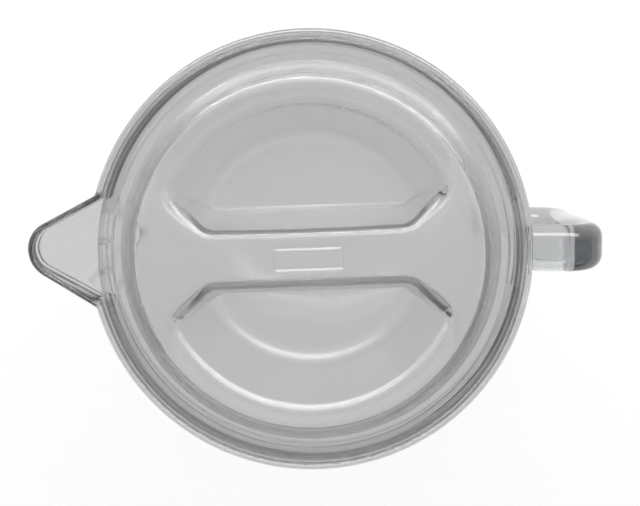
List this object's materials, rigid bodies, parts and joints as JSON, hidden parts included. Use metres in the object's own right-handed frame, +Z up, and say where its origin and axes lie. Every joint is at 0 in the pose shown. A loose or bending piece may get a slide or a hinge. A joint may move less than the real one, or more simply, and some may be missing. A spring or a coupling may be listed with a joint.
{
  "type": "lidded pitcher",
  "caption": "Clear tapered pitcher with a beak spout, a side handle and a drop-in lid with finger recesses that turns to strain, shut or pour.",
  "frame": {"origin": "centre of the flat foot, on the table", "axes": "+Z up along the axis of the vessel, -X towards the spout, +X towards the handle"},
  "size_m": [0.1852, 0.14, 0.2185],
  "materials": {
    "clear_body": "clear polished moulding",
    "clear_handle": "clear polished moulding",
    "clear_lid": "clear moulding with a soft sheen",
    "seal": "soft translucent ring"
  },
  "bodies": {
    "pitcher": {"pitcher_body": "clear_body", "handle": "clear_handle"},
    "seal": {"lid_seal": "seal"},
    "lid": {"lid": "clear_lid"}
  },
  "joints": [
    {"name": "lid_lift", "type": "slide", "parent": "pitcher", "child": "seal", "axis": [0, 0, 1], "range_m": [0, 0.06]},
    {"name": "lid_turn", "type": "hinge", "parent": "seal", "child": "lid", "pos_m": [0, 0, 0.2], "axis": [0, 0, 1], "continuous": true}
  ]
}
